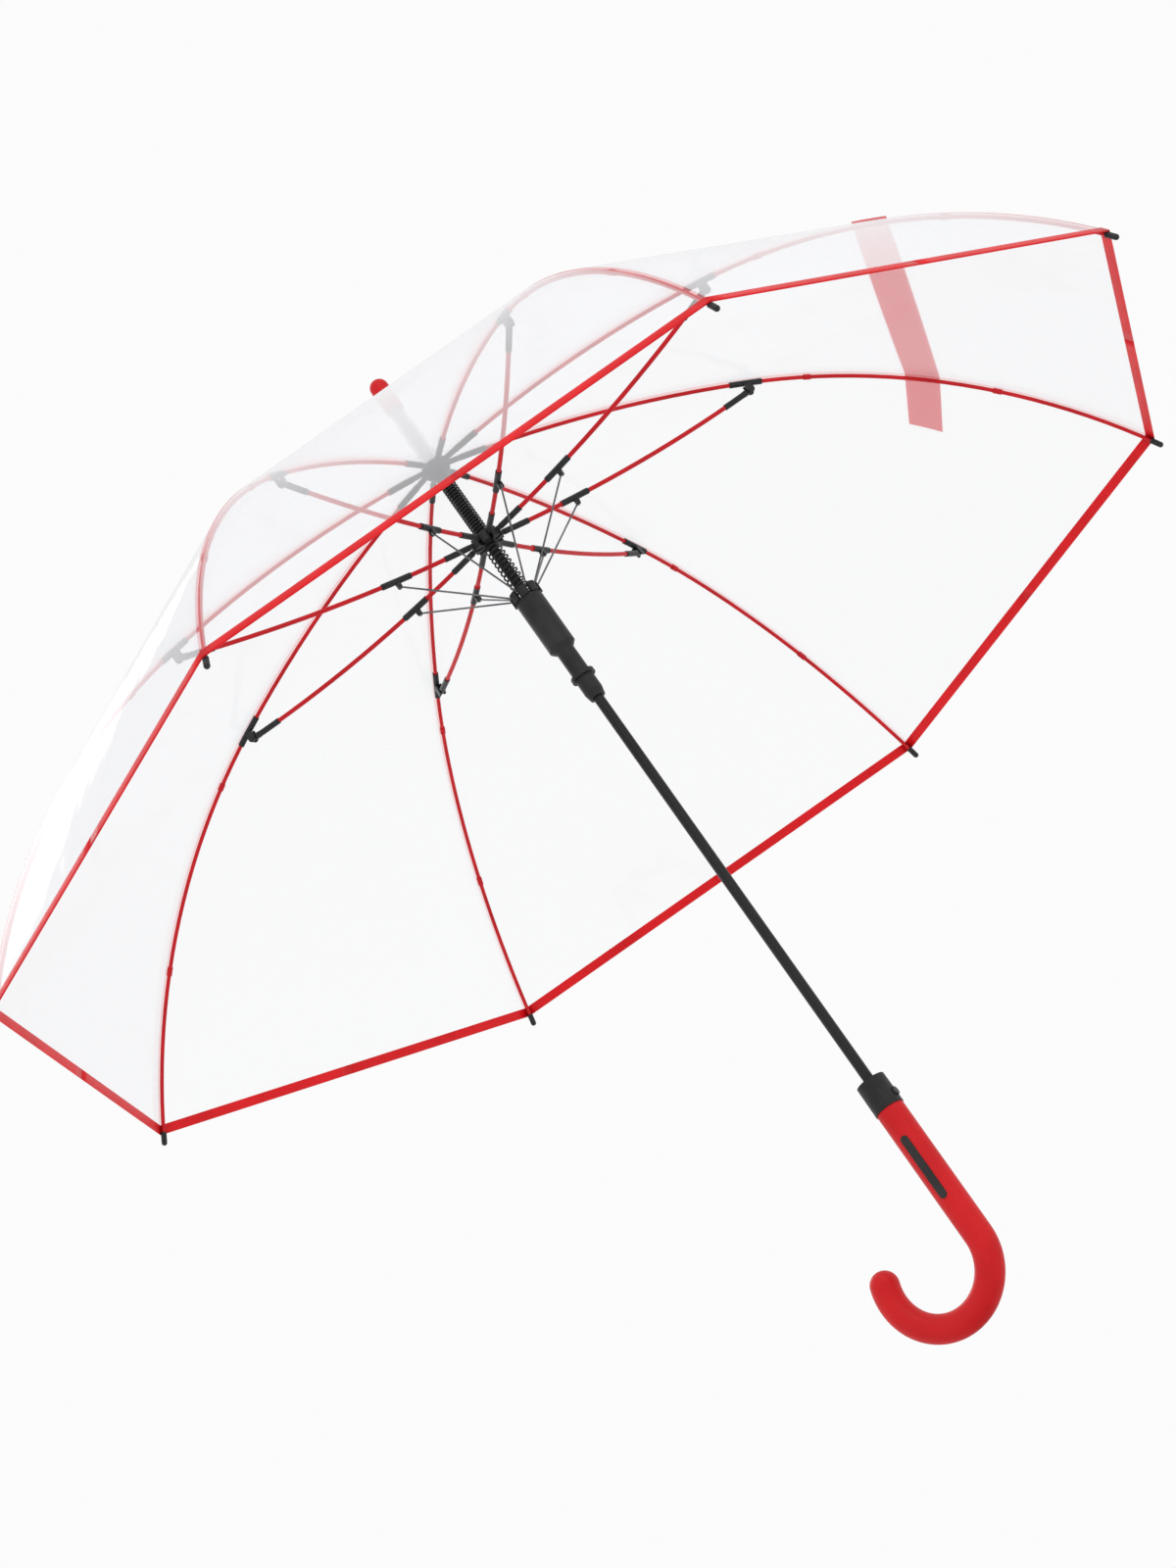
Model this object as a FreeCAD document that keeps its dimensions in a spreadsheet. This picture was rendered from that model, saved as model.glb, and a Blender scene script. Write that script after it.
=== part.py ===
"""Clear dome umbrella with a crook handle: eight sprung ribs, struts, spreader wires and a film canopy.

Lengths are millimetres and +Z runs up the shaft. The origin is the middle of the straight grip, on the
shaft's axis, and the crook bends towards +X. Rib number 1 lies over the crook, and the numbers run
anticlockwise seen from above.
"""
import FreeCAD, Part
import math
import os

import Sketcher
from FreeCAD import Placement, Rotation, Vector

SIZES = {
    "rib_count": 8,
    # heights above the middle of the grip
    "notch_height": 648.0,
    "hub_height": 577.0,
    "runner_height": 524.0,
    "joint_height": 596.0,
    "rim_height": 405.0,
    "ferrule_top": 735.0,
    "ferrule_foot": 705.0,
    "collar_top": 77.0,
    "grip_half": 53.0,
    # radii from the shaft's axis
    "pivot_radius": 9.0,
    "joint_radius": 247.0,
    "canopy_radius": 500.0,
    "shaft_radius": 4.0,
    "shaft_wall": 0.8,
    "grip_radius": 10.5,
    "hook_radius": 40.4,
    "hook_angle": 200.8,
    "crown_radius": 12.0,
    "notch_radius": 11.0,
    # ribs, struts and wires
    "rib_radius": 1.5,
    "strut_radius": 1.7,
    "sleeve_radius": 2.3,
    "rib_slope_at_joint": 18.0,
    "rib_above_joint": 7.0,
    "strut_bow": 5.7,
    "tongue_half": 1.2,
    "tongue_eye": 1.7,
    "ring_wire": 0.6,
    "spreader_wire": 0.7,
    "clamp_radius": 77.0,
    "clamp_drop": 5.0,
    # canopy
    "film_thick": 0.25,
    "film_offset": 2.7,
    "band_width": 6.0,
    "band_thick": 1.2,
    "film_inner": 9.0,
    "film_outer": 497.0,
    # running gaps
    "slide_gap": 0.3,
    "pin_gap": 0.25,
}

doc = FreeCAD.newDocument("Umbrella")
sheet = doc.addObject("Spreadsheet::Sheet", "Sizes")
for row, (alias, value) in enumerate(SIZES.items(), start=1):
    sheet.set("A%d" % row, alias)
    sheet.set("B%d" % row, str(value))
    sheet.setAlias("B%d" % row, alias)
doc.recompute()


def size(alias):
    """A driving dimension, read back from the sheet."""
    return float(sheet.get(alias))


RIBS = int(size("rib_count"))
STEP = 360.0 / RIBS
Z_AXIS = Vector(0, 0, 1)
Y_AXIS = Vector(0, 1, 0)
parts = []


def bind(obj, **expressions):
    """Binds properties to the sheet. A double underscore stands for a dot in a property's name."""
    for name, expression in expressions.items():
        obj.setExpression(name.replace("__", "."), expression)
    return obj


def keep(obj, label):
    """Marks an object of the document as a finished piece with its own name."""
    obj.Label = label
    parts.append(obj)
    return obj


def piece(label, shape, turn=0.0, lift=0.0):
    """A finished piece from a shape, turned about the shaft in degrees and lifted along it."""
    obj = doc.addObject("Part::Feature", label)
    obj.Shape = shape
    obj.Placement = Placement(Vector(0, 0, lift), Rotation(Z_AXIS, turn))
    return keep(obj, label)


def cylinder(name, radius, height, base):
    """A bound cylinder on the shaft's axis."""
    obj = doc.addObject("Part::Cylinder", name)
    return bind(obj, Radius=radius, Height=height, Placement__Base__z=base)


def cone(name, foot, top, height, base):
    """A bound cone on the shaft's axis, from its foot's radius to its top's."""
    obj = doc.addObject("Part::Cone", name)
    return bind(obj, Radius1=foot, Radius2=top, Height=height, Placement__Base__z=base)


def fused(name, shapes):
    obj = doc.addObject("Part::MultiFuse", name)
    obj.Shapes = shapes
    return obj


def cut(name, base, tool):
    obj = doc.addObject("Part::Cut", name)
    obj.Base = base
    obj.Tool = tool
    return obj


# ---- the shaft and what is fixed to it -------------------------------------------------------------

def shaft_tube():
    outer = cylinder("ShaftOuter", "Sizes.shaft_radius", "Sizes.ferrule_top - 8 + 20", "-20")
    inner = cylinder("ShaftInner", "Sizes.shaft_radius - Sizes.shaft_wall",
                     "Sizes.ferrule_top - 8 + 22", "-21")
    keep(cut("ShaftTube", outer, inner), "shaft_tube")


def ferrule_cap():
    """Rounded cap over the shaft's upper end: a short cylinder with a shallow dome."""
    foot = cylinder("CapFoot", "7.2", "Sizes.ferrule_top - Sizes.ferrule_foot - 7.2", "Sizes.ferrule_foot")
    dome = doc.addObject("Part::Sphere", "CapDome")
    bind(dome, Radius="7.2", Placement__Base__z="Sizes.ferrule_top - 7.2")
    bore = cylinder("CapBore", "Sizes.shaft_radius + 0.05", "24", "Sizes.ferrule_foot - 0.5")
    keep(cut("FerruleCap", fused("CapBody", [foot, dome]), bore), "ferrule_cap")


def ferrule_sleeve():
    """Tapered sleeve between the canopy and the cap, with three raised rings."""
    foot = "Sizes.notch_height + 3.4"
    taper = cone("SleeveTaper", "6.6", "5.8", "Sizes.ferrule_foot - (%s)" % foot, foot)
    rings = [
        cylinder("SleeveRing%d" % i, str(7.2 - 0.2 * i), "3", "%s + %g" % (foot, 8 + 14 * i))
        for i in range(3)
    ]
    bore = cylinder("SleeveBore", "Sizes.shaft_radius + 0.05", "80", "Sizes.notch_height + 3")
    keep(cut("FerruleSleeve", fused("SleeveBody", [taper] + rings), bore), "ferrule_sleeve")


def crown_cutters(name, height, bore, low, high):
    """The bore, the ring wire's channel and the radial slots of a slotted crown, as one cutter."""
    tools = [cylinder(name + "Bore", bore, str(high - low + 2), "%s + %g" % (height, low - 1))]
    channel = doc.addObject("Part::Torus", name + "Channel")
    bind(channel, Radius1="Sizes.pivot_radius", Radius2="Sizes.ring_wire",
         Placement__Base__z=height)
    tools.append(channel)
    for i in range(RIBS):
        slot = doc.addObject("Part::Box", "%sSlot%d" % (name, i + 1))
        bind(slot, Length="12", Width="2 * (Sizes.tongue_half + Sizes.slide_gap)",
             Height=str(high - low + 2))
        angle = math.radians(STEP * i)
        start, half = 6.3, size("tongue_half") + size("slide_gap")
        corner = Vector(start * math.cos(angle) + half * math.sin(angle),
                        start * math.sin(angle) - half * math.cos(angle), 0)
        slot.Placement = Placement(corner, Rotation(Z_AXIS, STEP * i))
        bind(slot, Placement__Base__z="%s + %g" % (height, low - 1))
        tools.append(slot)
    return fused(name + "Cutters", tools)


def ring_wire(label, height):
    """The closed wire ring that the tongues turn on."""
    ring = doc.addObject("Part::Torus", label.title().replace("_", ""))
    bind(ring, Radius1="Sizes.pivot_radius", Radius2="Sizes.ring_wire", Placement__Base__z=height)
    keep(ring, label)


def top_crown():
    height = "Sizes.notch_height"
    body = cylinder("TopCrownBody", "Sizes.notch_radius", "5.8", height + " - 3.4")
    tool = crown_cutters("TopCrown", height, "Sizes.shaft_radius + 0.05", -3.4, 2.4)
    keep(cut("TopCrownPiece", body, tool), "top_crown")


def helix_spring(label, foot, length, coil_radius, wire_radius, pitch):
    """A round-wire coil spring on the shaft's axis, standing on its foot's height."""
    path = Part.makeHelix(pitch, length - 2 * wire_radius, coil_radius)
    start = path.Edges[0].valueAt(path.Edges[0].FirstParameter)
    tangent = path.Edges[0].tangentAt(path.Edges[0].FirstParameter)
    ring = Part.Wire([Part.makeCircle(wire_radius, start, tangent)])
    coil = Part.Wire(path.Edges).makePipeShell([ring], True, True)
    return piece(label, coil, lift=foot + wire_radius)


def handle_collar():
    """Collar over the handle's end: a bore for the shaft, a wider mouth for the runner's foot, and the
    side pocket of the push button."""
    body = cone("CollarBody", "Sizes.grip_radius + 0.7", "Sizes.grip_radius + 0.5",
                "Sizes.collar_top - Sizes.grip_half", "Sizes.grip_half")
    bore = cylinder("CollarBore", "Sizes.shaft_radius + 0.05", "40", "Sizes.grip_half - 5")
    mouth = cylinder("CollarMouth", "7.8", "18", "Sizes.collar_top - 15")
    pocket = doc.addObject("Part::Cylinder", "CollarPocket")
    bind(pocket, Radius="3.3 + Sizes.slide_gap", Height="8")
    pocket.Placement = Placement(Vector(-7.4, 0, BUTTON_HEIGHT), Rotation(Y_AXIS, -90))
    keep(cut("HandleCollar", body, fused("CollarCutters", [bore, mouth, pocket])), "handle_collar")


def release_button():
    body = doc.addObject("Part::Cylinder", "ButtonBody")
    bind(body, Radius="3.3", Height="2.9")
    body.Placement = Placement(Vector(-9.3, 0, BUTTON_HEIGHT), Rotation(Y_AXIS, -90))
    keep(body, "release_button")


def button_spring():
    """Small coil spring behind the push button."""
    path = Part.makeHelix(0.6, 1.5, 2.2)
    edge = path.Edges[0]
    ring = Part.Wire([Part.makeCircle(0.18, edge.valueAt(edge.FirstParameter),
                                      edge.tangentAt(edge.FirstParameter))])
    coil = Part.Wire(path.Edges).makePipeShell([ring], True, True)
    obj = doc.addObject("Part::Feature", "button_spring")
    obj.Shape = coil
    obj.Placement = Placement(Vector(-7.6, 0, BUTTON_HEIGHT), Rotation(Y_AXIS, -90))
    keep(obj, "button_spring")


def plane_of(body, role):
    return [f for f in body.Origin.OriginFeatures if f.Role == role][0]


def handle():
    """The crook: a straight grip that runs into one round bend, with a ball end and a bore for the shaft."""
    half, bend, turn = size("grip_half"), size("hook_radius"), math.radians(size("hook_angle"))
    body = doc.addObject("PartDesign::Body", "Handle")
    spine = body.newObject("Sketcher::SketchObject", "HandleSpine")
    spine.AttachmentSupport = [(plane_of(body, "XZ_Plane"), "")]
    spine.MapMode = "FlatFace"
    spine.addGeometry(Part.LineSegment(Vector(0, half, 0), Vector(0, -half, 0)), False)
    circle = Part.Circle(Vector(bend, -half, 0), Z_AXIS, bend)
    spine.addGeometry(Part.ArcOfCircle(circle, math.pi, math.pi + turn), False)
    spine.addConstraint(Sketcher.Constraint("Tangent", 0, 2, 1, 1))
    bend_size = spine.addConstraint(Sketcher.Constraint("Radius", 1, bend))
    spine.setExpression("Constraints[%d]" % bend_size, "Sizes.hook_radius")
    profile = body.newObject("Sketcher::SketchObject", "HandleProfile")
    profile.AttachmentSupport = [(plane_of(body, "XY_Plane"), "")]
    profile.MapMode = "FlatFace"
    profile.AttachmentOffset = Placement(Vector(0, 0, half), Rotation())
    profile.addGeometry(Part.Circle(Vector(0, 0, 0), Z_AXIS, size("grip_radius")), False)
    profile.addConstraint(Sketcher.Constraint("Coincident", 0, 3, -1, 1))
    grip_size = profile.addConstraint(Sketcher.Constraint("Radius", 0, size("grip_radius")))
    profile.setExpression("Constraints[%d]" % grip_size, "Sizes.grip_radius")
    doc.recompute()
    pipe = body.newObject("PartDesign::AdditivePipe", "HandlePipe")
    pipe.Profile = profile
    pipe.Spine = (spine, ["Edge1", "Edge2"])
    doc.recompute()
    ball = body.newObject("PartDesign::AdditiveSphere", "HandleEnd")
    bind(ball, Radius="Sizes.grip_radius")
    ball.Placement = Placement(Vector(bend - bend * math.cos(turn), 0, -half - bend * math.sin(turn)),
                               Rotation())
    doc.recompute()
    bore = body.newObject("PartDesign::SubtractiveCylinder", "HandleBore")
    bind(bore, Radius="Sizes.shaft_radius + 0.05", Height="Sizes.grip_half + 22")
    bore.Placement = Placement(Vector(0, 0, -21), Rotation())
    doc.recompute()
    body.Tip = bore
    keep(body, "handle")


def name_plate():
    """A blank long oval plate that follows the grip's round side, facing +Y."""
    ring = cut("PlateRing",
               cylinder("PlateOuter", "Sizes.grip_radius + 0.6", "60", "-22"),
               cylinder("PlateInner", "Sizes.grip_radius", "62", "-23"))
    bar = doc.addObject("Part::Box", "PlateBar")
    bind(bar, Length="6", Width="12", Height="46")
    bar.Placement = Placement(Vector(-3, 2, -19), Rotation())
    ends = []
    for i, end_height in enumerate((-19, 27)):
        end = doc.addObject("Part::Cylinder", "PlateEnd%d" % i)
        bind(end, Radius="3", Height="12")
        end.Placement = Placement(Vector(0, 14, end_height), Rotation(Vector(1, 0, 0), 90))
        ends.append(end)
    common = doc.addObject("Part::MultiCommon", "NamePlate")
    common.Shapes = [ring, fused("PlateOval", [bar] + ends)]
    keep(common, "name_plate")


# ---- the strut hub and the runner that slide on the shaft ------------------------------------------

def strut_hub():
    height = "Sizes.hub_height"
    body = cylinder("StrutHubBody", "Sizes.crown_radius", "8.2", height + " - 5")
    tool = crown_cutters("StrutHub", height, "Sizes.shaft_radius + Sizes.slide_gap", -5.0, 3.2)
    keep(cut("StrutHubPiece", body, tool), "strut_hub")
    ring_wire("strut_hub_wire", height)


def runner():
    """Stepped tube: a slotted crown, a wide barrel round the main spring, a neck, a flange and a foot."""
    height = "Sizes.runner_height"
    crown = cut("RunnerCrown",
                cylinder("RunnerCrownBody", "Sizes.crown_radius", "8.2", height + " - 5"),
                crown_cutters("RunnerCrown", height, "7.9", -5.0, 3.2))
    steps = [
        cylinder("RunnerBarrel", "10.6", "45.5", height + " - 50.5"),
        cone("RunnerShoulder", "7", "10.6", "4", height + " - 54.5"),
        cylinder("RunnerNeck", "7", "22.5", height + " - 77"),
        cylinder("RunnerFlange", "9.5", "3", height + " - 80"),
        cylinder("RunnerFoot", "7.3", "12.5", height + " - 92.5"),
        cone("RunnerTail", "6", "7.3", "6", height + " - 98.5"),
    ]
    barrel_bore = cylinder("RunnerBarrelBore", "7.9", "50", height + " - 47")
    neck_bore = cylinder("RunnerNeckBore", "Sizes.shaft_radius + Sizes.slide_gap", "60", height + " - 100")
    tube = cut("RunnerTube", fused("RunnerSteps", steps), fused("RunnerBores", [barrel_bore, neck_bore]))
    keep(fused("RunnerPiece", [tube, crown]), "runner")


# ---- ribs, struts and wires, drawn in the XZ plane and turned round the shaft ----------------------

def bowed(a, b, half_turn):
    """An arc from a to b in the XZ plane. It leaves a at half_turn degrees above the chord."""
    chord = b - a
    normal = Vector(-chord.z, 0, chord.x)
    normal.normalize()
    rise = chord.Length / 2 * math.tan(math.radians(half_turn) / 2)
    return Part.Arc(a, (a + b) / 2 + normal * rise, b)


def slope_down(a, b):
    return math.degrees(math.atan2(a.z - b.z, b.x - a.x))


BUTTON_HEIGHT = size("grip_half") + 7.5


def frame_points():
    """The places where the pieces of one rib plane meet."""
    pivot, joint = size("pivot_radius"), size("joint_radius")
    over = size("rib_above_joint")
    tip_back = 3.0
    return {
        "notch": Vector(pivot, 0, size("notch_height")),
        "hub": Vector(pivot, 0, size("hub_height")),
        "runner": Vector(pivot, 0, size("runner_height")),
        "joint": Vector(joint, 0, size("joint_height")),
        "rib_joint": Vector(joint, 0, size("joint_height") + over),
        "rib_end": Vector(size("canopy_radius") - tip_back, 0, size("rim_height") + 4.5),
    }


POINTS = frame_points()


def rib_arcs(offset=0.0):
    """The rib's two tangent arcs, moved outwards by an offset."""
    slope = size("rib_slope_at_joint")
    a, b, c = POINTS["notch"], POINTS["rib_joint"], POINTS["rib_end"]
    arcs = [bowed(a, b, slope_down(a, b) * -1 + slope), bowed(b, c, slope_down(b, c) - slope)]
    if not offset:
        return arcs
    moved = []
    for arc in arcs:
        circle = arc.toShape().Curve
        ends = [point_on(arc, share) for share in (0.0, 0.5, 1.0)]
        outer = [circle.Center + (p - circle.Center) * ((circle.Radius + offset) / circle.Radius)
                 for p in ends]
        moved.append(Part.Arc(*outer))
    return moved


def point_on(arc, share):
    return arc.value(arc.FirstParameter + share * (arc.LastParameter - arc.FirstParameter))


def share_at(arc, radius):
    """How far along an arc its distance from the shaft reaches a radius."""
    low, high = 0.0, 1.0
    for _ in range(40):
        middle = (low + high) / 2
        if point_on(arc, middle).x < radius:
            low = middle
        else:
            high = middle
    return low


def stretch(arc, low, high):
    """The part of an arc between two distances from the shaft."""
    shares = [share_at(arc, low), share_at(arc, high)]
    ends = [point_on(arc, s) for s in shares]
    return Part.Arc(ends[0], point_on(arc, sum(shares) / 2), ends[1])


def rod(arcs, radius, bore=0.0):
    """A round rod along arcs, or a sleeve with a bore."""
    path = Part.Wire([a.toShape() for a in arcs])
    edge = path.Edges[0]
    start, tangent = arcs[0].value(arcs[0].FirstParameter), arcs[0].tangent(arcs[0].FirstParameter)[0]
    solid = path.makePipeShell([Part.Wire([Part.makeCircle(radius, start, tangent)])], True, False)
    if bore:
        hole = path.makePipeShell([Part.Wire([Part.makeCircle(bore, start, tangent)])], True, False)
        solid = solid.cut(hole)
    return solid


def along_y(centre, radius, low, high):
    """A round pin or disc across the rib plane."""
    return Part.makeCylinder(radius, high - low, Vector(centre.x, low, centre.z), Y_AXIS)


def tongue(pivot, towards, length, eye, hole):
    """A flat tongue from a pivot towards a point, with a round eye and a hole for the pin."""
    half = size("tongue_half")
    direction = (towards - pivot).normalize()
    side = Vector(-direction.z, 0, direction.x) * eye
    corners = [pivot + side, pivot + side + direction * length,
               pivot - side + direction * length, pivot - side]
    outline = Part.makePolygon([Vector(p.x, -half, p.z) for p in corners + corners[:1]])
    plate = Part.Face(outline).extrude(Vector(0, 2 * half, 0))
    plate = plate.fuse(along_y(pivot, eye, -half, half))
    return plate.cut(along_y(pivot, hole, -half - 1, half + 1))


def hanging_ears(top, pivot, width, inner, outer):
    """A pair of ears that hang from a sleeve down to a pin's centre."""
    ears = []
    for low, high in ((inner, outer), (-outer, -inner)):
        corners = [Vector(top.x - width, low, top.z), Vector(top.x + width, low, top.z),
                   Vector(pivot.x + width, low, pivot.z), Vector(pivot.x - width, low, pivot.z)]
        plate = Part.Face(Part.makePolygon(corners + corners[:1])).extrude(Vector(0, high - low, 0))
        ears.append(plate.fuse(along_y(pivot, width, low, high)))
    return ears


def rib_shapes():
    """The rod of one rib, and its fittings: inner sleeve, joint bracket with its pin, two ties, tip."""
    inner, outer = rib_arcs()
    sleeve, thin, bore = size("sleeve_radius"), size("rib_radius"), size("rib_radius") + 0.05
    joint = size("joint_radius")
    notch = POINTS["notch"]
    rod_shape = rod([Part.Arc(point_on(inner, share_at(inner, 23)),
                              point_on(inner, 0.5 + share_at(inner, 23) / 2),
                              point_on(inner, 1.0)), outer], thin)
    inner_sleeve = rod([stretch(inner, 21, 42)], sleeve, bore)
    plug = rod([stretch(inner, 21, 22.8)], bore)
    eye = tongue(notch, point_on(inner, share_at(inner, 22)), 12.5, size("tongue_eye"),
                 size("ring_wire") + size("pin_gap"))
    inner_fitting = inner_sleeve.fuse([plug, eye])

    pivot = POINTS["joint"]
    bracket = rod([stretch(inner, joint - 12, joint - 0.01)], sleeve, bore)
    bracket = bracket.fuse(rod([stretch(outer, joint + 0.01, joint + 12)], sleeve, bore))
    gap = size("tongue_half") + size("slide_gap")
    ears = hanging_ears(Vector(pivot.x, 0, pivot.z + size("rib_above_joint") - 1.6), pivot, 3.0,
                        gap, gap + 1.1)
    bracket = bracket.fuse(ears)
    pin = along_y(pivot, 0.9, -gap - 1.1, gap + 1.1)
    bracket = bracket.fuse(pin)

    ties = [rod([stretch(outer, r - 2.5, r + 2.5)], thin + 0.6, bore) for r in (292, 415)]
    end = POINTS["rib_end"]
    slope = point_on(outer, 1.0) - point_on(outer, 0.985)
    slope.normalize()
    cap = Part.makeCylinder(2.2, 8.0, end - slope * 5.0, slope)
    socket = Part.makeCylinder(bore, 5.1, end - slope * 5.1, slope)
    cap = cap.cut(socket).fuse(Part.makeSphere(2.2, end + slope * 3.0))
    return rod_shape, Part.makeCompound([inner_fitting, bracket] + ties + [cap])


def strut_shape():
    """One strut: its rod, the inner sleeve, the clamp that holds the spreader wire, and the outer sleeve."""
    hub, joint = POINTS["hub"], POINTS["joint"]
    arc = bowed(hub, joint, -size("strut_bow"))
    sleeve, thin, bore = size("sleeve_radius"), size("strut_radius"), size("strut_radius") + 0.05
    rod_shape = rod([stretch(arc, 17, joint.x - 8)], thin)
    inner = rod([stretch(arc, 15, 36)], sleeve, bore).fuse(rod([stretch(arc, 15, 16.8)], bore))
    inner = inner.fuse(tongue(hub, point_on(arc, share_at(arc, 16)), 6.5, size("tongue_eye"),
                              size("ring_wire") + size("pin_gap")))
    outer = rod([stretch(arc, joint.x - 26, joint.x - 6)], sleeve, bore)
    outer = outer.fuse(rod([stretch(arc, joint.x - 7.8, joint.x - 6)], bore))
    outer = outer.fuse(tongue(joint, point_on(arc, share_at(arc, joint.x - 7)), 7.0, 2.2,
                              0.9 + size("pin_gap")))
    eye = clamp_eye()
    middle = point_on(arc, share_at(arc, eye.x))
    clamp = rod([stretch(arc, eye.x - 12, eye.x + 12)], sleeve + 0.1, bore)
    ears = hanging_ears(Vector(eye.x, 0, middle.z - 2.0), eye, 1.6, 1.0, 1.9)
    clamp = clamp.fuse(ears).fuse(along_y(eye, 0.5, -1.9, 1.9))
    return Part.makeCompound([rod_shape, inner, clamp, outer])


def clamp_eye():
    """The pin under the strut's clamp that the spreader wire turns on."""
    arc = bowed(POINTS["hub"], POINTS["joint"], -size("strut_bow"))
    on_rod = point_on(arc, share_at(arc, size("clamp_radius")))
    return Vector(on_rod.x, 0, on_rod.z - size("clamp_drop"))


def wire_shape():
    """A spreader wire: a closed eye round the clamp's pin and a plain end in the runner's slot."""
    eye, foot = clamp_eye(), POINTS["runner"]
    direction = (foot - eye).normalize()
    thick = size("spreader_wire")
    eye_radius = 0.5 + size("pin_gap") + thick
    ring = Part.makeTorus(eye_radius, thick, eye, Y_AXIS)
    start = eye + direction * eye_radius
    straight = Part.makeCylinder(thick, (foot - start).Length - 1.9, start, direction)
    return ring.fuse(straight)


# ---- the canopy ------------------------------------------------------------------------------------

def across(points, turn, shrink):
    """Points of the rib plane, brought towards the shaft by a share and turned round it."""
    angle = math.radians(turn)
    return [Vector(p.x * shrink * math.cos(angle), p.x * shrink * math.sin(angle), p.z) for p in points]


def panel_section(turn, shrink):
    """The panel's thin outline in one plane through the shaft: film, and a thicker bound edge."""
    offset, thick, band = size("film_offset"), size("film_thick"), size("band_thick")
    low = rib_arcs(offset)
    high = rib_arcs(offset + thick)
    edge = rib_arcs(offset + band)
    rim = size("film_outer")
    back = rim - size("band_width") * 0.55
    start = size("film_inner")
    stations = [start + (size("joint_radius") - start) * i / 6.0 for i in range(7)]
    stations += [size("joint_radius") + (back - size("joint_radius")) * i / 10.0 for i in range(1, 11)]

    def line(arcs, radii):
        """Points of the rib's curve at several distances from the shaft."""
        found = []
        for r in radii:
            arc = arcs[0] if r <= arcs[0].value(arcs[0].LastParameter).x else arcs[1]
            found.append(point_on(arc, share_at(arc, r)))
        return found

    under, over = line(low, stations + [rim]), line(high, stations)
    lip = line(edge, [back, rim + 0.5])
    bottom = Part.BSplineCurve()
    bottom.interpolate(across(under, turn, shrink))
    top = Part.BSplineCurve()
    top.interpolate(across(over, turn, shrink))
    splines = [bottom.toShape(), top.toShape()]
    under_end, over_end = across(under[-1:], turn, shrink)[0], across(over[-1:], turn, shrink)[0]
    under_start, over_start = across(under[:1], turn, shrink)[0], across(over[:1], turn, shrink)[0]
    lip_back, lip_end = across(lip, turn, shrink)
    return Part.Wire(Part.__sortEdges__([
        splines[0],
        Part.makeLine(under_end, lip_end),
        Part.makeLine(lip_end, lip_back),
        Part.makeLine(lip_back, over_end),
        splines[1],
        Part.makeLine(over_start, under_start),
    ]))


def canopy_panel():
    """Half of each of the two gores beside a rib, as one thin shell bent over the rib. Between two ribs
    the film is straight, so its middle line lies nearer to the shaft than the ribs do."""
    half = STEP / 2
    shrink = math.cos(math.radians(half))
    wedge_gap = 0.03
    sections = [
        panel_section(-half + wedge_gap, shrink),
        panel_section(0.0, 1.0),
        panel_section(half - wedge_gap, shrink),
    ]
    return Part.makeLoft(sections, True, True)


def strap_shape():
    """The closing strap, hanging round the outside of the canopy from rib 5's seam over the next rib."""
    middle_radius, width, thick, stand_off = 372.0, 27.0, 0.5, 1.2
    offset = size("film_offset") + size("film_thick") + stand_off
    low, high = rib_arcs(offset)[1], rib_arcs(offset + thick)[1]
    share = share_at(low, middle_radius)
    half = width / 2 / low.toShape().Length
    corners = [point_on(low, share - half), point_on(low, share + half),
               point_on(high, share + half), point_on(high, share - half)]
    spots = [across(corners, STEP * i, 1.0) for i in range(2)]
    hang, drift = 0.17, 24.0
    lower = share_at(low, middle_radius + drift) - share
    shifted = [point_on(low, share - half + lower), point_on(low, share + half + lower),
               point_on(high, share + half + lower), point_on(high, share - half + lower)]
    ahead = [across(shifted, STEP * i, 1.0) for i in (1, 2)]
    end = [a + (b - a) * hang for a, b in zip(*ahead)]
    wires = [Part.makePolygon(s + s[:1]) for s in (spots[0], spots[1], end)]
    band = Part.makeLoft(wires, True, True)
    on_film, on_band = point_on(low, share), point_on(high, share)
    out = (on_band - on_film).normalize()
    rivet = Part.makeCylinder(4.0, stand_off + thick + 1.2, on_film - out * stand_off, out)
    return band.fuse(rivet)


# ---- build everything ------------------------------------------------------------------------------

shaft_tube()
ferrule_cap()
ferrule_sleeve()
top_crown()
helix_spring("buffer_spring", size("hub_height") + 4.0,
             size("notch_height") - size("hub_height") - 7.4, 5.2, 0.75, 2.7)
handle()
handle_collar()
name_plate()
release_button()
button_spring()
strut_hub()
runner()
helix_spring("main_spring", size("runner_height") - 46.5,
             size("hub_height") - size("runner_height") + 41.5, 6.0, 0.7, 4.2)

rib_rod, rib_fittings = rib_shapes()
strut, spreader = strut_shape(), wire_shape()
panel = canopy_panel()
for number in range(1, RIBS + 1):
    around = STEP * (number - 1)
    piece("rib_%d" % number, rib_rod, around)
    piece("rib_fittings_%d" % number, rib_fittings, around)
    piece("canopy_panel_%d" % number, panel, around)
    piece("strut_%d" % number, strut, around)
    piece("spreader_wire_%d" % number, spreader, around)
piece("closure_strap", strap_shape(), STEP * 4)

doc.recompute()
for obj in doc.Objects:
    if "Invalid" in obj.State or "Error" in obj.State:
        raise RuntimeError("%s failed: %s" % (obj.Name, obj.State))
for obj in parts:
    if obj.Shape.isNull() or not obj.Shape.isValid() or not obj.Shape.Solids:
        raise RuntimeError("%s is not a valid solid" % obj.Label)

os.makedirs("parts", exist_ok=True)
for obj in parts:
    obj.Shape.exportStep("parts/%s.step" % obj.Label)
print("%d pieces, %.0f cm3" % (len(parts), sum(o.Shape.Volume for o in parts) / 1000))
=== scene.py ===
import math

import bpy
from mathutils import Matrix, Vector


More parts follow.
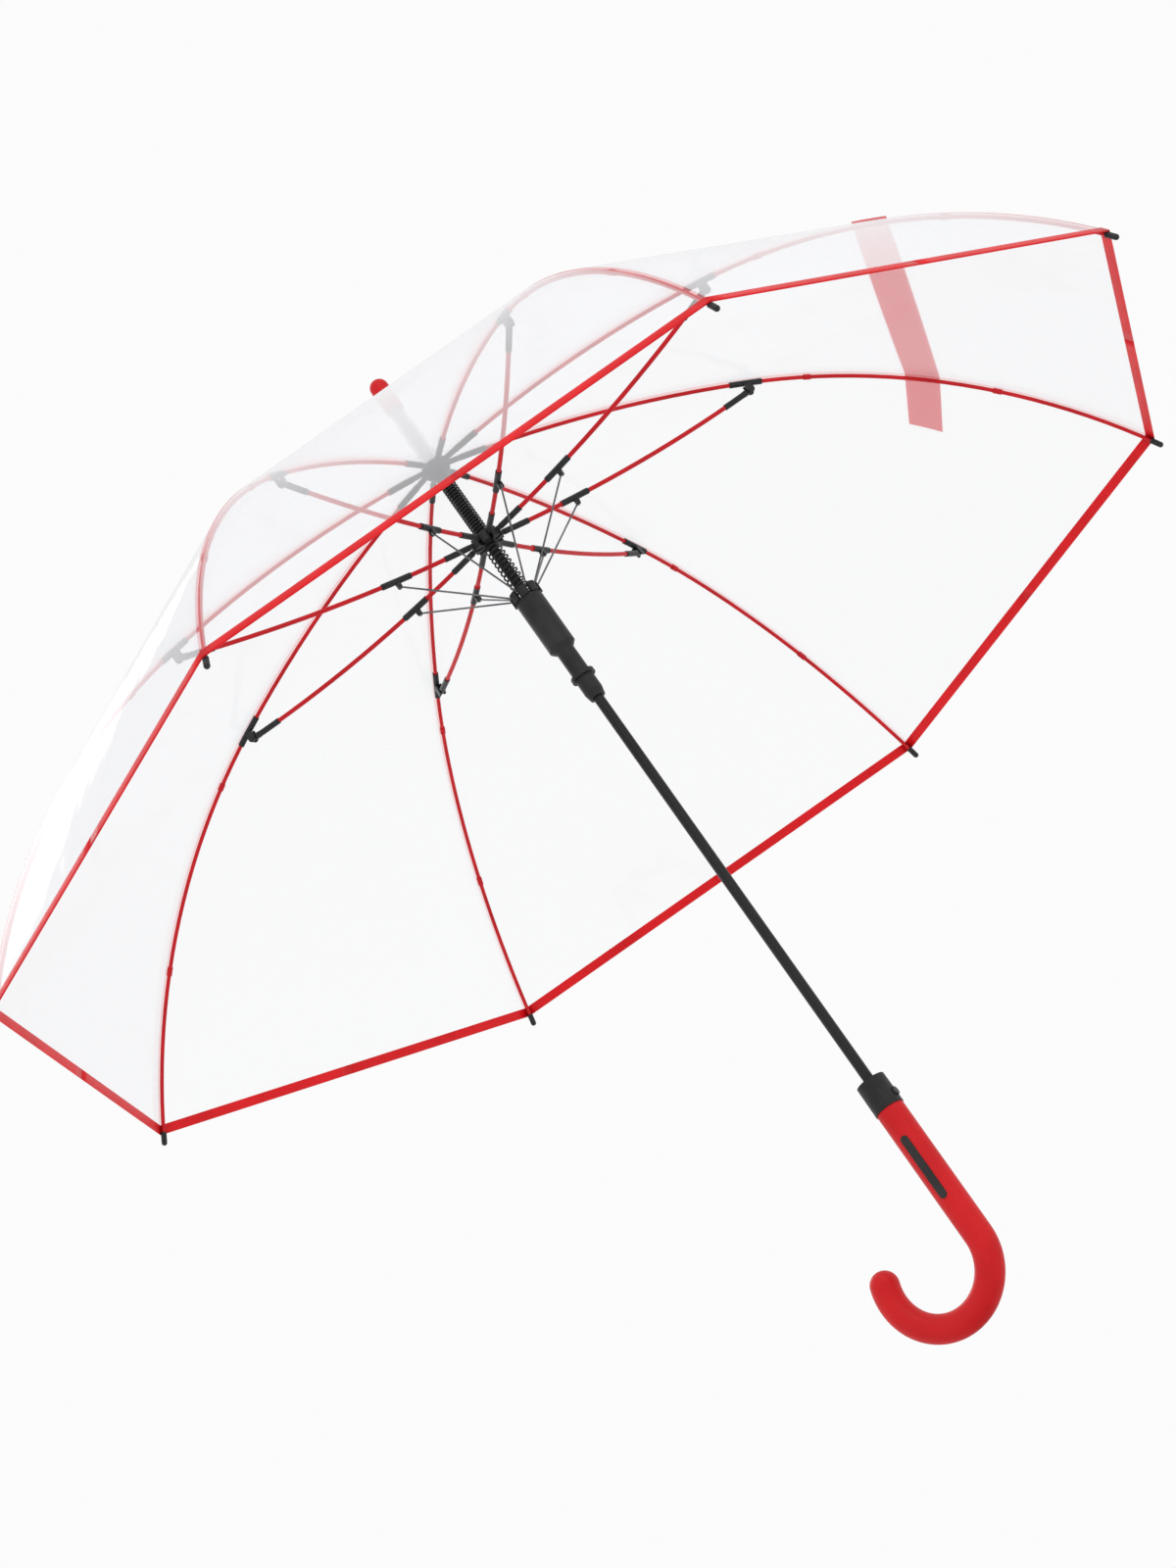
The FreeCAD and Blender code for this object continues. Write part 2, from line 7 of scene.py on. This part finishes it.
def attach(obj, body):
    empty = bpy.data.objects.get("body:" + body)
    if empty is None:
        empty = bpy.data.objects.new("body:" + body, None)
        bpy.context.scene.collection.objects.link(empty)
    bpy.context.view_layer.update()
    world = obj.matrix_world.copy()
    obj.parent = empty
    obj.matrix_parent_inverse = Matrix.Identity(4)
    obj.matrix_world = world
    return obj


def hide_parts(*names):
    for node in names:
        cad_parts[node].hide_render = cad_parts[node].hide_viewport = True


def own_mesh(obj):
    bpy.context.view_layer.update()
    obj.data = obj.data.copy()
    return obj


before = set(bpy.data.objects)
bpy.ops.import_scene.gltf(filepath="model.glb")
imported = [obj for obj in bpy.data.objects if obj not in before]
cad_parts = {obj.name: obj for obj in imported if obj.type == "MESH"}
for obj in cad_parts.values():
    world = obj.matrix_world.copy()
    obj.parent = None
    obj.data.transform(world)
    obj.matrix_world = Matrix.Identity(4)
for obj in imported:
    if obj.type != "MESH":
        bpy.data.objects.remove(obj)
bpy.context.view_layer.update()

RIBS = 8
HALF = math.radians(22.5)
MM = 0.001

# the rib's two arcs, in millimetres in the rib plane, as (radius from the shaft, height)
NOTCH = (9.0, 648.0)
OVER_JOINT = (247.0, 603.0)
RIB_END = (497.0, 409.5)
SLOPE_AT_JOINT = 18.0

FILM_OFFSET = 2.9
FILM_RIM = 497.0
SEAM_HALF_WIDTH = 2.2
BAND_WIDTH = 7.6
BAND_THICK = 1.4
PETAL_ROWS = 60
PETAL_STEPS = 12
SEAM_MOST = 0.06
BILLOW = 0.5
BILLOW_WAVES = 9
BAND_INSET = 1.2
BAND_STEPS = 14

# the strap: its middle's distance from the shaft, its width, its free end beyond the next rib as a
# share of a gore, how far that end drifts outwards, and its height over the film
STRAP_RIB = 5
STRAP_MIDDLE = 372.0
STRAP_WIDTH = 27.0
STRAP_PAST = 0.17
STRAP_DRIFT = 24.0
STRAP_LIFT = 1.6
STRAP_WAVE = 0.3
STRAP_WAVES = 11
STRAP_ROWS = 9
STRAP_COLUMNS = 80

COIL_SIDES = 10
COIL_RINGS = 30
BUTTON_SPRING_AT = (-0.0076, 0, 0.0605)

# surfaces: noise scales per metre, the share of a noise's range that is used, and relief in metres
CLOUD_SCALE = 35.0
SLEEVE_GRAIN = 1400.0
NOISE_LOW, NOISE_HIGH = 0.3, 0.7
SPECULAR = 0.22
RELIEF = 0.0002
EDGE_ROUNDING = 0.0003


# ---- materials ------------------------------------------------------------------------------------

def new_material(name):
    """An empty node material, its tree and its output."""
    material = bpy.data.materials.new(name)
    material.use_nodes = True
    tree = material.node_tree
    tree.nodes.clear()
    output = tree.nodes.new("ShaderNodeOutputMaterial")
    return material, tree, output


def noise(tree, scale, detail=4.0, stretch=(1, 1, 1)):
    """Object-space noise, which needs no unwrapping."""
    where = tree.nodes.new("ShaderNodeTexCoord")
    mapping = tree.nodes.new("ShaderNodeMapping")
    mapping.inputs["Scale"].default_value = stretch
    texture = tree.nodes.new("ShaderNodeTexNoise")
    texture.inputs["Scale"].default_value = scale
    texture.inputs["Detail"].default_value = detail
    tree.links.new(where.outputs["Object"], mapping.inputs["Vector"])
    tree.links.new(mapping.outputs["Vector"], texture.inputs["Vector"])
    return texture.outputs["Fac"]


def spread(tree, value, low, high):
    """Maps a noise value to the range from low to high."""
    node = tree.nodes.new("ShaderNodeMapRange")
    node.inputs["From Min"].default_value = NOISE_LOW
    node.inputs["From Max"].default_value = NOISE_HIGH
    node.inputs["To Min"].default_value = low
    node.inputs["To Max"].default_value = high
    tree.links.new(value, node.inputs["Value"])
    return node.outputs["Result"]


def bumped(tree, height, strength, distance, rounding=0.0):
    """A normal with relief from a height, and with edges that look rounded where that is asked for."""
    bump = tree.nodes.new("ShaderNodeBump")
    bump.inputs["Strength"].default_value = strength
    bump.inputs["Distance"].default_value = distance
    tree.links.new(height, bump.inputs["Height"])
    if rounding:
        bevel = tree.nodes.new("ShaderNodeBevel")
        bevel.samples = 4
        bevel.inputs["Radius"].default_value = rounding
        tree.links.new(bevel.outputs["Normal"], bump.inputs["Normal"])
    return bump.outputs["Normal"]


def solid(name, dark, light, rough, metal=0.0, grain=900.0, strength=0.15, rounding=0.0,
          stretch=(1, 1, 1)):
    """An opaque surface whose colour, roughness and relief all vary a little."""
    material, tree, output = new_material(name)
    shader = tree.nodes.new("ShaderNodeBsdfPrincipled")
    cloudy = noise(tree, CLOUD_SCALE, 3.0, stretch)
    fine = noise(tree, grain, 2.0, stretch)
    mix = tree.nodes.new("ShaderNodeMix")
    mix.data_type = "RGBA"
    mix.inputs["A"].default_value = (*dark, 1)
    mix.inputs["B"].default_value = (*light, 1)
    tree.links.new(spread(tree, cloudy, 0.0, 1.0), mix.inputs["Factor"])
    tree.links.new(mix.outputs["Result"], shader.inputs["Base Color"])
    tree.links.new(spread(tree, fine, rough[0], rough[1]), shader.inputs["Roughness"])
    shader.inputs["Metallic"].default_value = metal
    shader.inputs["Specular IOR Level"].default_value = SPECULAR
    tree.links.new(bumped(tree, fine, strength, RELIEF, rounding), shader.inputs["Normal"])
    tree.links.new(shader.outputs["BSDF"], output.inputs["Surface"])
    return material


def film(name, colour, clear_low, clear_high, gloss_rough):
    """Clear soft film: see-through face on, hazier and shinier at a glancing angle."""
    material, tree, output = new_material(name)
    clear = tree.nodes.new("ShaderNodeBsdfTransparent")
    clear.inputs["Color"].default_value = (0.985, 0.988, 0.992, 1)
    haze = tree.nodes.new("ShaderNodeBsdfTranslucent")
    haze.inputs["Color"].default_value = (*colour, 1)
    face = tree.nodes.new("ShaderNodeBsdfDiffuse")
    face.inputs["Color"].default_value = (*colour, 1)
    both = tree.nodes.new("ShaderNodeMixShader")
    both.inputs["Fac"].default_value = 0.5
    gloss = tree.nodes.new("ShaderNodeBsdfGlossy")
    gloss.inputs["Roughness"].default_value = gloss_rough
    ripple = noise(tree, 14.0, 2.0)
    tree.links.new(bumped(tree, ripple, 0.35, 0.004), gloss.inputs["Normal"])
    facing = tree.nodes.new("ShaderNodeLayerWeight")
    facing.inputs["Blend"].default_value = 0.35
    amount = tree.nodes.new("ShaderNodeMapRange")
    amount.inputs["To Min"].default_value = clear_low
    amount.inputs["To Max"].default_value = clear_high
    tree.links.new(facing.outputs["Facing"], amount.inputs["Value"])
    glancing = tree.nodes.new("ShaderNodeMath")
    glancing.operation = "POWER"
    glancing.inputs[1].default_value = 4.0
    shine = tree.nodes.new("ShaderNodeMapRange")
    shine.inputs["To Min"].default_value = 0.03
    shine.inputs["To Max"].default_value = 0.45
    tree.links.new(facing.outputs["Facing"], glancing.inputs[0])
    tree.links.new(glancing.outputs["Value"], shine.inputs["Value"])
    body = tree.nodes.new("ShaderNodeMixShader")
    surface = tree.nodes.new("ShaderNodeMixShader")
    tree.links.new(haze.outputs["BSDF"], both.inputs[1])
    tree.links.new(face.outputs["BSDF"], both.inputs[2])
    tree.links.new(amount.outputs["Result"], body.inputs["Fac"])
    tree.links.new(clear.outputs["BSDF"], body.inputs[1])
    tree.links.new(both.outputs["Shader"], body.inputs[2])
    tree.links.new(shine.outputs["Result"], surface.inputs["Fac"])
    tree.links.new(body.outputs["Shader"], surface.inputs[1])
    tree.links.new(gloss.outputs["BSDF"], surface.inputs[2])
    tree.links.new(surface.outputs["Shader"], output.inputs["Surface"])
    return material


BLACK = solid("moulded_black", (0.012, 0.012, 0.013), (0.028, 0.028, 0.03), (0.38, 0.52),
              grain=1400.0, rounding=EDGE_ROUNDING)
SHAFT = solid("painted_tube", (0.010, 0.010, 0.011), (0.020, 0.020, 0.022), (0.28, 0.40),
              grain=1800.0, strength=0.08, stretch=(1, 1, 0.1))
SPRING = solid("spring_steel", (0.010, 0.010, 0.011), (0.026, 0.026, 0.028), (0.34, 0.46))
WIRE = solid("drawn_wire", (0.09, 0.09, 0.095), (0.2, 0.2, 0.21), (0.28, 0.42), metal=1.0)
ROD = solid("red_rod", (0.46, 0.004, 0.008), (0.60, 0.008, 0.014), (0.26, 0.40), grain=2200.0,
            strength=0.1)
GRIP = solid("red_grip", (0.54, 0.005, 0.008), (0.62, 0.008, 0.011), (0.42, 0.52), grain=2600.0,
             strength=0.12)
PLATE = solid("dark_plate", (0.020, 0.018, 0.018), (0.034, 0.030, 0.030), (0.34, 0.46), grain=1500.0)
BAND = solid("red_binding", (0.62, 0.003, 0.007), (0.74, 0.006, 0.011), (0.34, 0.46), grain=700.0,
             strength=0.25)
CLEAR = film("clear_film", (0.95, 0.96, 0.98), 0.03, 0.92, 0.07)
SEAM = film("welded_seam", (0.90, 0.36, 0.38), 0.30, 0.72, 0.16)
CLOUDY = film("cloudy_sleeve", (0.90, 0.90, 0.93), 0.45, 0.85, 0.2)
STRAP = film("strap_film", (0.72, 0.012, 0.025), 0.74, 0.94, 0.12)


def near_radii(tree, bands):
    """1 where the distance from the shaft lies in one of the bands, each a middle and a reach, else 0."""
    where = tree.nodes.new("ShaderNodeTexCoord")
    flat = tree.nodes.new("ShaderNodeVectorMath")
    flat.operation = "MULTIPLY"
    flat.inputs[1].default_value = (1, 1, 0)
    length = tree.nodes.new("ShaderNodeVectorMath")
    length.operation = "LENGTH"
    tree.links.new(where.outputs["Object"], flat.inputs[0])
    tree.links.new(flat.outputs["Vector"], length.inputs[0])
    total = None
    for middle, reach in bands:
        inside = tree.nodes.new("ShaderNodeMath")
        inside.operation = "COMPARE"
        inside.inputs[1].default_value = middle
        inside.inputs[2].default_value = reach
        tree.links.new(length.outputs["Value"], inside.inputs[0])
        if total is None:
            total = inside.outputs["Value"]
            continue
        either = tree.nodes.new("ShaderNodeMath")
        either.operation = "MAXIMUM"
        tree.links.new(total, either.inputs[0])
        tree.links.new(inside.outputs["Value"], either.inputs[1])
        total = either.outputs["Value"]
    return total


def banded(name, base, second, bands):
    """Two colours on one node: the second one lies at certain distances from the shaft, in metres."""
    material, tree, output = new_material(name)
    shader = tree.nodes.new("ShaderNodeBsdfPrincipled")
    shader.inputs["Specular IOR Level"].default_value = SPECULAR
    fine = noise(tree, SLEEVE_GRAIN, 2.0)
    cloudy = spread(tree, noise(tree, CLOUD_SCALE, 3.0), 0.0, 1.0)
    pick = tree.nodes.new("ShaderNodeMix")
    pick.data_type = "RGBA"
    for colour, socket in ((base, "A"), (second, "B")):
        shade = tree.nodes.new("ShaderNodeMix")
        shade.data_type = "RGBA"
        shade.inputs["A"].default_value = (*[c * 0.85 for c in colour], 1)
        shade.inputs["B"].default_value = (*colour, 1)
        tree.links.new(cloudy, shade.inputs["Factor"])
        tree.links.new(shade.outputs["Result"], pick.inputs[socket])
    tree.links.new(near_radii(tree, bands), pick.inputs["Factor"])
    tree.links.new(pick.outputs["Result"], shader.inputs["Base Color"])
    tree.links.new(spread(tree, fine, 0.32, 0.48), shader.inputs["Roughness"])
    tree.links.new(bumped(tree, fine, 0.12, RELIEF, EDGE_ROUNDING), shader.inputs["Normal"])
    tree.links.new(shader.outputs["BSDF"], output.inputs["Surface"])
    return material


RED_TONE = (0.56, 0.006, 0.012)
BLACK_TONE = (0.022, 0.022, 0.024)
STRUT_SLEEVES = ((0.021, 0.0153), (0.0774, 0.0123), (0.236, 0.0155))
RIB_TIES = ((0.292, 0.006), (0.415, 0.006))
STRUT = banded("strut_finish", RED_TONE, BLACK_TONE, STRUT_SLEEVES)
FITTINGS = banded("fitting_finish", BLACK_TONE, RED_TONE, RIB_TIES)

NODE_MATERIALS = {
    "shaft_tube": SHAFT, "ferrule_cap": GRIP, "ferrule_sleeve": CLOUDY, "top_crown": BLACK,
    "buffer_spring": SPRING, "strut_hub": BLACK, "strut_hub_wire": WIRE, "runner": BLACK,
    "handle": GRIP, "handle_collar": BLACK, "name_plate": PLATE, "release_button": BLACK,
}
NODE_FAMILIES = (
    ("rib_fittings_", FITTINGS), ("rib_", ROD), ("spreader_wire_", WIRE), ("strut_", STRUT),
)


def paint(obj, material):
    obj.data.materials.clear()
    obj.data.materials.append(material)


# ---- shapes ---------------------------------------------------------------------------------------

def arc_between(a, b, start_slope, end_slope):
    """Centre, radius, first and last angle of an arc given by its ends and its slopes there. Slopes
    are in degrees below the horizon, angles in radians from straight up."""
    turn = math.radians(end_slope - start_slope)
    chord = math.dist(a, b)
    radius = chord / (2 * math.sin(turn / 2))
    first = math.radians(start_slope)
    centre = (a[0] - radius * math.sin(first), a[1] - radius * math.cos(first))
    return centre, radius, first, first + turn


def slope(a, b):
    """How far the line from a to b dips below the horizon, in degrees."""
    return math.degrees(math.atan2(a[1] - b[1], b[0] - a[0]))


INNER_CHORD = slope(NOTCH, OVER_JOINT)
OUTER_CHORD = slope(OVER_JOINT, RIB_END)
ARCS = (
    arc_between(NOTCH, OVER_JOINT, 2 * INNER_CHORD - SLOPE_AT_JOINT, SLOPE_AT_JOINT),
    arc_between(OVER_JOINT, RIB_END, SLOPE_AT_JOINT, 2 * OUTER_CHORD - SLOPE_AT_JOINT),
)


def rib_line(r, offset):
    """(radius, height) on the rib's curve moved outwards by an offset, and the slope there."""
    for centre, radius, first, last in ARCS:
        sine = (r - centre[0]) / (radius + offset)
        angle = math.asin(max(-1.0, min(1.0, sine)))
        if angle <= last:
            break
    angle = max(first, angle)
    reach = radius + offset
    return centre[0] + reach * math.sin(angle), centre[1] + reach * math.cos(angle), angle


def place(point, theta):
    """Turns a point of the rib plane to an azimuth. Between two ribs the film runs straight."""
    away = theta - round(theta / (2 * HALF)) * 2 * HALF
    r = point[0] * math.cos(HALF) / math.cos(HALF - abs(away))
    return Vector((r * math.cos(theta), r * math.sin(theta), point[1])) * MM


def mesh_object(name, points, faces, materials, indices=None, smooth=True):
    """A mesh in the scene. With indices, each face has its own material."""
    mesh = bpy.data.meshes.new(name)
    mesh.from_pydata(points, [], faces)
    for material in materials:
        mesh.materials.append(material)
    for polygon in mesh.polygons:
        polygon.use_smooth = smooth
        if indices:
            polygon.material_index = indices[polygon.index]
    mesh.update()
    obj = bpy.data.objects.new(name, mesh)
    bpy.context.scene.collection.objects.link(obj)
    return obj


def grid_faces(rows, columns):
    """Quads over points that are listed row by row."""
    return [
        (r * columns + c, r * columns + c + 1, (r + 1) * columns + c + 1, (r + 1) * columns + c)
        for r in range(rows - 1) for c in range(columns - 1)
    ]


def petal(number):
    """The film over one rib: half of each gore beside it, with the welded seam along the rib."""
    azimuth = 2 * HALF * (number - 1)
    shares = [i / PETAL_STEPS for i in range(-PETAL_STEPS, PETAL_STEPS + 1)]
    points = []
    for row in range(PETAL_ROWS):
        r = NOTCH[0] + (FILM_RIM - NOTCH[0]) * row / (PETAL_ROWS - 1)
        radius, height = rib_line(r, FILM_OFFSET)[:2]
        seam = min(SEAM_MOST, SEAM_HALF_WIDTH / (r * math.sin(HALF)))
        for step, share in enumerate(shares, -PETAL_STEPS):
            if abs(step) == 1:
                share = step * seam
            billow = math.sin(BILLOW_WAVES * math.pi * r / FILM_RIM)
            lift = BILLOW * billow * (1 - abs(share)) * abs(share)
            points.append(place((radius, height + lift), azimuth + share * HALF))
    faces = grid_faces(PETAL_ROWS, len(shares))
    beside_rib = (PETAL_STEPS - 1, PETAL_STEPS)
    indices = [int(i % (2 * PETAL_STEPS) in beside_rib) for i in range(len(faces))]
    return mesh_object("canopy_film_%d" % number, points, faces, [CLEAR, SEAM], indices)


def stadium(centre, along, normal, width, thick, count=6):
    """A flat tape's cross-section with round edges, in the rib plane."""
    outline = []
    for side in (1, -1):
        for i in range(count + 1):
            angle = math.pi * (i / count - 0.5)
            a = side * ((width - thick) / 2 + thick / 2 * math.cos(angle))
            n = side * thick / 2 * math.sin(angle)
            outline.append((centre[0] + along[0] * a + normal[0] * n,
                            centre[1] + along[1] * a + normal[1] * n))
    return outline


def swept(name, outline, angles, material):
    """A closed solid: an outline of the rib plane carried round the canopy."""
    count = len(outline)
    points = [place(p, angle) for angle in angles for p in outline]
    faces = []
    for s in range(len(angles) - 1):
        for i in range(count):
            j = (i + 1) % count
            faces.append((s * count + i, s * count + j, (s + 1) * count + j, (s + 1) * count + i))
    faces.append(tuple(reversed(range(count))))
    last = (len(angles) - 1) * count
    faces.append(tuple(range(last, last + count)))
    return mesh_object(name, points, faces, [material])


def binding(number, side):
    """Half of a petal's red bound edge, from the rib's tip to the middle of the gore."""
    azimuth = 2 * HALF * (number - 1)
    r, z, angle = rib_line(FILM_RIM - BAND_INSET, FILM_OFFSET)
    along = (math.cos(angle), -math.sin(angle))
    normal = (math.sin(angle), math.cos(angle))
    outline = stadium((r, z), along, normal, BAND_WIDTH, BAND_THICK)
    turns = [azimuth + side * HALF * i / BAND_STEPS for i in range(BAND_STEPS + 1)]
    hand = "left" if side > 0 else "right"
    return swept("rim_binding_%d_%s" % (number, hand), outline, turns, BAND)


def coil(name, radius, wire, low, high, turns, material, centre=None):
    """A coil spring's mesh. Its end turns lie closer together, as on a ground spring."""
    sides, steps = COIL_SIDES, int(turns * COIL_RINGS)
    up = Vector((0, 0, 1))
    points, faces = [], []
    for i in range(steps + 1):
        share = i / steps
        eased = share - 0.5 / turns * math.sin(2 * math.pi * share) / math.pi
        angle = 2 * math.pi * turns * share
        out = Vector((math.cos(angle), math.sin(angle), 0))
        middle = out * radius + up * (low + wire + (high - low - 2 * wire) * eased)
        for k in range(sides):
            turn = 2 * math.pi * k / sides
            points.append((middle + (out * math.cos(turn) + up * math.sin(turn)) * wire) * MM)
    for i in range(steps):
        for k in range(sides):
            n = (k + 1) % sides
            faces.append((i * sides + k, i * sides + n, (i + 1) * sides + n, (i + 1) * sides + k))
    faces.append(tuple(range(sides)))
    faces.append(tuple(reversed(range(steps * sides, (steps + 1) * sides))))
    obj = mesh_object(name, points, faces, [material])
    if centre is not None:
        obj.data.transform(centre)
    return obj


def strap():
    """The closing strap, laid round the outside. Past the next rib its free end drifts outwards."""
    start = 2 * HALF * (STRAP_RIB - 1)
    points = []
    for row in range(STRAP_ROWS):
        across = row / (STRAP_ROWS - 1) - 0.5
        for column in range(STRAP_COLUMNS):
            share = (1 + STRAP_PAST) * column / (STRAP_COLUMNS - 1)
            middle = STRAP_MIDDLE + STRAP_DRIFT * max(0.0, share - 1) / STRAP_PAST
            steep = rib_line(middle, FILM_OFFSET)[2]
            # between two ribs the film lies further in, so the same width spans more radius
            inset = math.cos(HALF) / math.cos(((share * 2) % 2 - 1) * HALF)
            slant = math.hypot(inset * math.cos(steep), math.sin(steep))
            r = middle + STRAP_WIDTH * across * math.cos(steep) / slant
            wave = STRAP_WAVE * math.sin(STRAP_WAVES * share * math.pi) * math.cos(math.pi * across)
            line = rib_line(r, FILM_OFFSET + STRAP_LIFT + wave)
            points.append(place(line[:2], start + share * 2 * HALF))
    return mesh_object("strap_film", points, grid_faces(STRAP_ROWS, STRAP_COLUMNS), [STRAP])


# ---- dress the frame ------------------------------------------------------------------------------

for name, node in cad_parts.items():
    found = NODE_MATERIALS.get(name)
    if found is None:
        found = next((m for prefix, m in NODE_FAMILIES if name.startswith(prefix)), None)
    # a node with no material here is one that a Blender piece stands in for
    if found is not None:
        paint(node, found)

for number in range(1, RIBS + 1):
    body = "rib_arm_%d" % number
    piece = petal(number)
    bands = [binding(number, side) for side in (1, -1)]
    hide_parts("canopy_panel_%d" % number)
    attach(piece, body)
    for band, side in zip(bands, (1, -1)):
        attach(band, body)
        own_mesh(band)
    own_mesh(piece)

spring = coil("mechanism_spring", 6.0, 0.7, 477.5, 572.0, 22, SPRING)
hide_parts("main_spring")
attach(spring, "hub")
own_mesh(spring)

turned = Matrix.Translation(BUTTON_SPRING_AT) @ Matrix.Rotation(-math.pi / 2, 4, "Y")
small_spring = coil("push_spring", 2.2, 0.18, -0.18, 1.68, 2.5, SPRING, turned)
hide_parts("button_spring")
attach(small_spring, "shaft")
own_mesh(small_spring)

band = strap()
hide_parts("closure_strap")
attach(band, "rib_arm_5")
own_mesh(band)


# ---- floor, light and camera ----------------------------------------------------------------------

FLOOR_REACH = 30.0
FLOOR_HEIGHT = -0.112
LIGHTS_AIM = Vector((0, 0, 0.4))
WORLD_STRENGTH = 0.97
CAMERA_LENS = 96.69
SENSOR_WIDTH = 36.0
CAMERA_PLACE = Vector((-1.0381, 2.6051, -0.6920))
CAMERA_RIGHT = Vector((-0.67799, -0.50292, -0.53609))
CAMERA_UP = Vector((-0.64154, 0.04886, 0.76553))


def floor():
    """A pale floor that is seen from above only, because the photograph's view is from below."""
    corners = ((-1, -1), (1, -1), (1, 1), (-1, 1))
    points = [(x * FLOOR_REACH, y * FLOOR_REACH, FLOOR_HEIGHT) for x, y in corners]
    material, tree, output = new_material("pale_floor")
    shader = tree.nodes.new("ShaderNodeBsdfPrincipled")
    shader.inputs["Base Color"].default_value = (0.86, 0.86, 0.86, 1)
    shader.inputs["Roughness"].default_value = 0.8
    clear = tree.nodes.new("ShaderNodeBsdfTransparent")
    side = tree.nodes.new("ShaderNodeNewGeometry")
    mix = tree.nodes.new("ShaderNodeMixShader")
    tree.links.new(side.outputs["Backfacing"], mix.inputs["Fac"])
    tree.links.new(shader.outputs["BSDF"], mix.inputs[1])
    tree.links.new(clear.outputs["BSDF"], mix.inputs[2])
    tree.links.new(mix.outputs["Shader"], output.inputs["Surface"])
    return mesh_object("floor", points, [(0, 1, 2, 3)], [material], smooth=False)


def soft_light(name, place_at, power, width):
    """A square area light that faces the umbrella's middle."""
    light = bpy.data.lights.new(name, "AREA")
    light.energy = power
    light.size = width
    obj = bpy.data.objects.new(name, light)
    obj.location = place_at
    aim = LIGHTS_AIM - Vector(place_at)
    obj.rotation_euler = aim.to_track_quat("-Z", "Y").to_euler()
    bpy.context.scene.collection.objects.link(obj)


floor()
soft_light("key_light", (-1.8, 1.6, 2.2), 14, 1.6)
soft_light("rim_light", (1.9, -1.4, 1.8), 8, 1.2)

world = bpy.data.worlds.new("studio")
world.use_nodes = True
backdrop = world.node_tree.nodes["Background"]
backdrop.inputs["Color"].default_value = (1.0, 1.0, 1.0, 1)
backdrop.inputs["Strength"].default_value = WORLD_STRENGTH
bpy.context.scene.world = world
bpy.context.scene.view_settings.view_transform = "Standard"

camera_data = bpy.data.cameras.new("photo_view")
camera_data.lens = CAMERA_LENS
camera_data.sensor_width = SENSOR_WIDTH
camera = bpy.data.objects.new("photo_view", camera_data)
camera_back = CAMERA_RIGHT.cross(CAMERA_UP)
turn = Matrix((CAMERA_RIGHT, CAMERA_UP, camera_back)).transposed().to_4x4()
camera.matrix_world = Matrix.Translation(CAMERA_PLACE) @ turn
bpy.context.scene.collection.objects.link(camera)
bpy.context.scene.camera = camera

bpy.context.view_layer.update()
